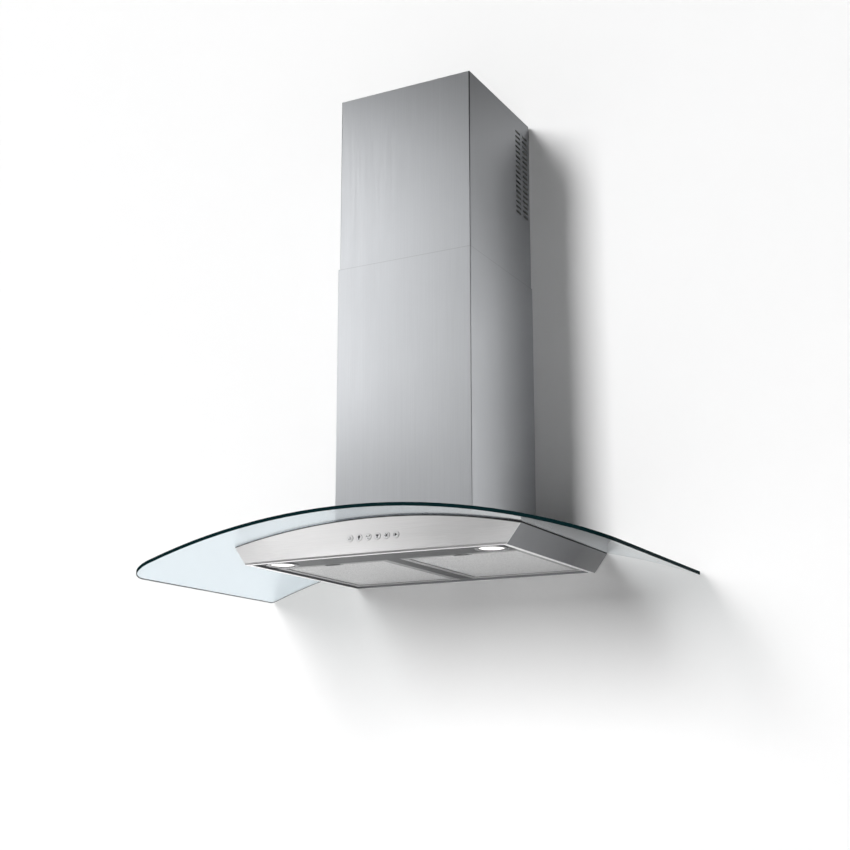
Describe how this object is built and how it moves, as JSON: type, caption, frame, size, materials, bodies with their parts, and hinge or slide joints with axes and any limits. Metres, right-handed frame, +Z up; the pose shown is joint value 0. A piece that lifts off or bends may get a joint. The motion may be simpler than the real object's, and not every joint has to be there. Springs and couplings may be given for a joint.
{
  "type": "range hood",
  "caption": "Wall-mounted chimney range hood with a curved glass canopy, telescopic steel chimney, press buttons, round lamps and hinged mesh grease filters.",
  "frame": {"origin": "centre of the four wall holes, on the back face of the wall plate", "axes": "+X to the hood's right seen from the front, +Y into the wall, +Z up"},
  "size_m": [0.898, 0.4685, 0.9139],
  "materials": {
    "canopy_glass": "clear, tempered, slightly green edge",
    "black_gasket": "matt",
    "polished_screws": "polished",
    "zinc_fixings": "zinc plated",
    "brushed_steel": "brushed",
    "body_steel": "brushed",
    "lamp_trim": "polished",
    "lamp_lens": "frosted",
    "lamp_bulb": "clear capsule",
    "zinc_sheet": "galvanised",
    "filter_aluminium": "satin",
    "filter_mesh": "woven mesh",
    "latch_plastic": "satin",
    "button_metal": "satin",
    "dark_plastic": "fine grain",
    "circuit_board": "coated",
    "grey_plastic": "fine grain",
    "motor_can": "satin",
    "pale_plastic": "fine grain",
    "capacitor_case": "gloss"
  },
  "bodies": {
    "hood": {"glass_canopy": "canopy_glass", "glass_gasket": "black_gasket", "glass_grommets": "black_gasket", "glass_screws": "polished_screws", "glass_nuts": "zinc_fixings", "motor_box_screws": "zinc_fixings", "spider_screws": "zinc_fixings", "lower_chimney_screws": "zinc_fixings", "flap_pin": "zinc_fixings", "front_panel": "brushed_steel", "lower_chimney": "brushed_steel", "body_shell": "body_steel", "underside_frame": "body_steel", "left_lamp_trim": "lamp_trim", "right_lamp_trim": "lamp_trim", "left_lamp_lens": "lamp_lens", "right_lamp_lens": "lamp_lens", "left_lamp_bulb": "lamp_bulb", "right_lamp_bulb": "lamp_bulb", "left_lamp_housing": "zinc_sheet", "right_lamp_housing": "zinc_sheet", "wall_plate": "zinc_sheet", "motor_box": "zinc_sheet", "motor_spider": "zinc_sheet", "button_guide": "dark_plastic", "outlet_collar": "dark_plastic", "cable_gland": "dark_plastic", "control_board": "circuit_board", "scroll_housing": "grey_plastic", "motor": "motor_can", "transformer": "motor_can", "control_box": "pale_plastic", "control_box_cover": "pale_plastic", "capacitor": "capacitor_case"},
    "fan": {"fan_wheel": "grey_plastic", "motor_shaft": "zinc_fixings"},
    "front_flap": {"front_flap": "dark_plastic"},
    "rear_flap": {"rear_flap": "dark_plastic"},
    "timer_button": {"timer_button": "button_metal"},
    "light_button": {"light_button": "button_metal"},
    "slower_button": {"slower_button": "button_metal"},
    "faster_button": {"faster_button": "button_metal"},
    "boost_button": {"boost_button": "button_metal"},
    "power_button": {"power_button": "button_metal"},
    "left_filter": {"left_filter_frame": "filter_aluminium", "left_filter_mesh": "filter_mesh"},
    "left_latch": {"left_filter_latch": "latch_plastic"},
    "right_filter": {"right_filter_frame": "filter_aluminium", "right_filter_mesh": "filter_mesh"},
    "right_latch": {"right_filter_latch": "latch_plastic"},
    "upper_chimney": {"upper_chimney": "brushed_steel", "ceiling_bracket": "zinc_sheet", "bracket_screws": "zinc_fixings", "air_deflector": "pale_plastic"}
  },
  "joints": [
    {"name": "fan_spin", "type": "hinge", "parent": "hood", "child": "fan", "pos_m": [0, -0.091, 0], "axis": [1, 0, 0], "continuous": true},
    {"name": "front_flap_swing", "type": "hinge", "parent": "hood", "child": "front_flap", "pos_m": [0, -0.138, 0.15], "axis": [-1, 0, 0], "range_deg": [0, 75]},
    {"name": "rear_flap_swing", "type": "hinge", "parent": "hood", "child": "rear_flap", "pos_m": [0, -0.138, 0.15], "axis": [1, 0, 0], "range_deg": [0, 75]},
    {"name": "timer_button_press", "type": "slide", "parent": "hood", "child": "timer_button", "axis": [0, 0.9905, -0.1374], "range_m": [0, 0.0012], "stiffness_N_per_m": 300, "springref_m": -0.002},
    {"name": "light_button_press", "type": "slide", "parent": "hood", "child": "light_button", "axis": [0, 0.9905, -0.1374], "range_m": [0, 0.0012], "stiffness_N_per_m": 300, "springref_m": -0.002},
    {"name": "slower_button_press", "type": "slide", "parent": "hood", "child": "slower_button", "axis": [0, 0.9905, -0.1374], "range_m": [0, 0.0012], "stiffness_N_per_m": 300, "springref_m": -0.002},
    {"name": "faster_button_press", "type": "slide", "parent": "hood", "child": "faster_button", "axis": [0, 0.9905, -0.1374], "range_m": [0, 0.0012], "stiffness_N_per_m": 300, "springref_m": -0.002},
    {"name": "boost_button_press", "type": "slide", "parent": "hood", "child": "boost_button", "axis": [0, 0.9905, -0.1374], "range_m": [0, 0.0012], "stiffness_N_per_m": 300, "springref_m": -0.002},
    {"name": "power_button_press", "type": "slide", "parent": "hood", "child": "power_button", "axis": [0, 0.9905, -0.1374], "range_m": [0, 0.0012], "stiffness_N_per_m": 300, "springref_m": -0.002},
    {"name": "left_filter_swing", "type": "hinge", "parent": "hood", "child": "left_filter", "pos_m": [-0.126, -0.02232, -0.1815], "axis": [1, 0, 0], "range_deg": [0, 80]},
    {"name": "left_latch_slide", "type": "slide", "parent": "left_filter", "child": "left_latch", "axis": [0, 1, 0], "range_m": [0, 0.006], "stiffness_N_per_m": 150, "springref_m": -0.006},
    {"name": "right_filter_swing", "type": "hinge", "parent": "hood", "child": "right_filter", "pos_m": [0.126, -0.02232, -0.1815], "axis": [1, 0, 0], "range_deg": [0, 80]},
    {"name": "right_latch_slide", "type": "slide", "parent": "right_filter", "child": "right_latch", "axis": [0, 1, 0], "range_m": [0, 0.006], "stiffness_N_per_m": 150, "springref_m": -0.006},
    {"name": "chimney_extension", "type": "slide", "parent": "hood", "child": "upper_chimney", "axis": [0, 0, 1], "range_m": [-0.235, 0.12]}
  ]
}
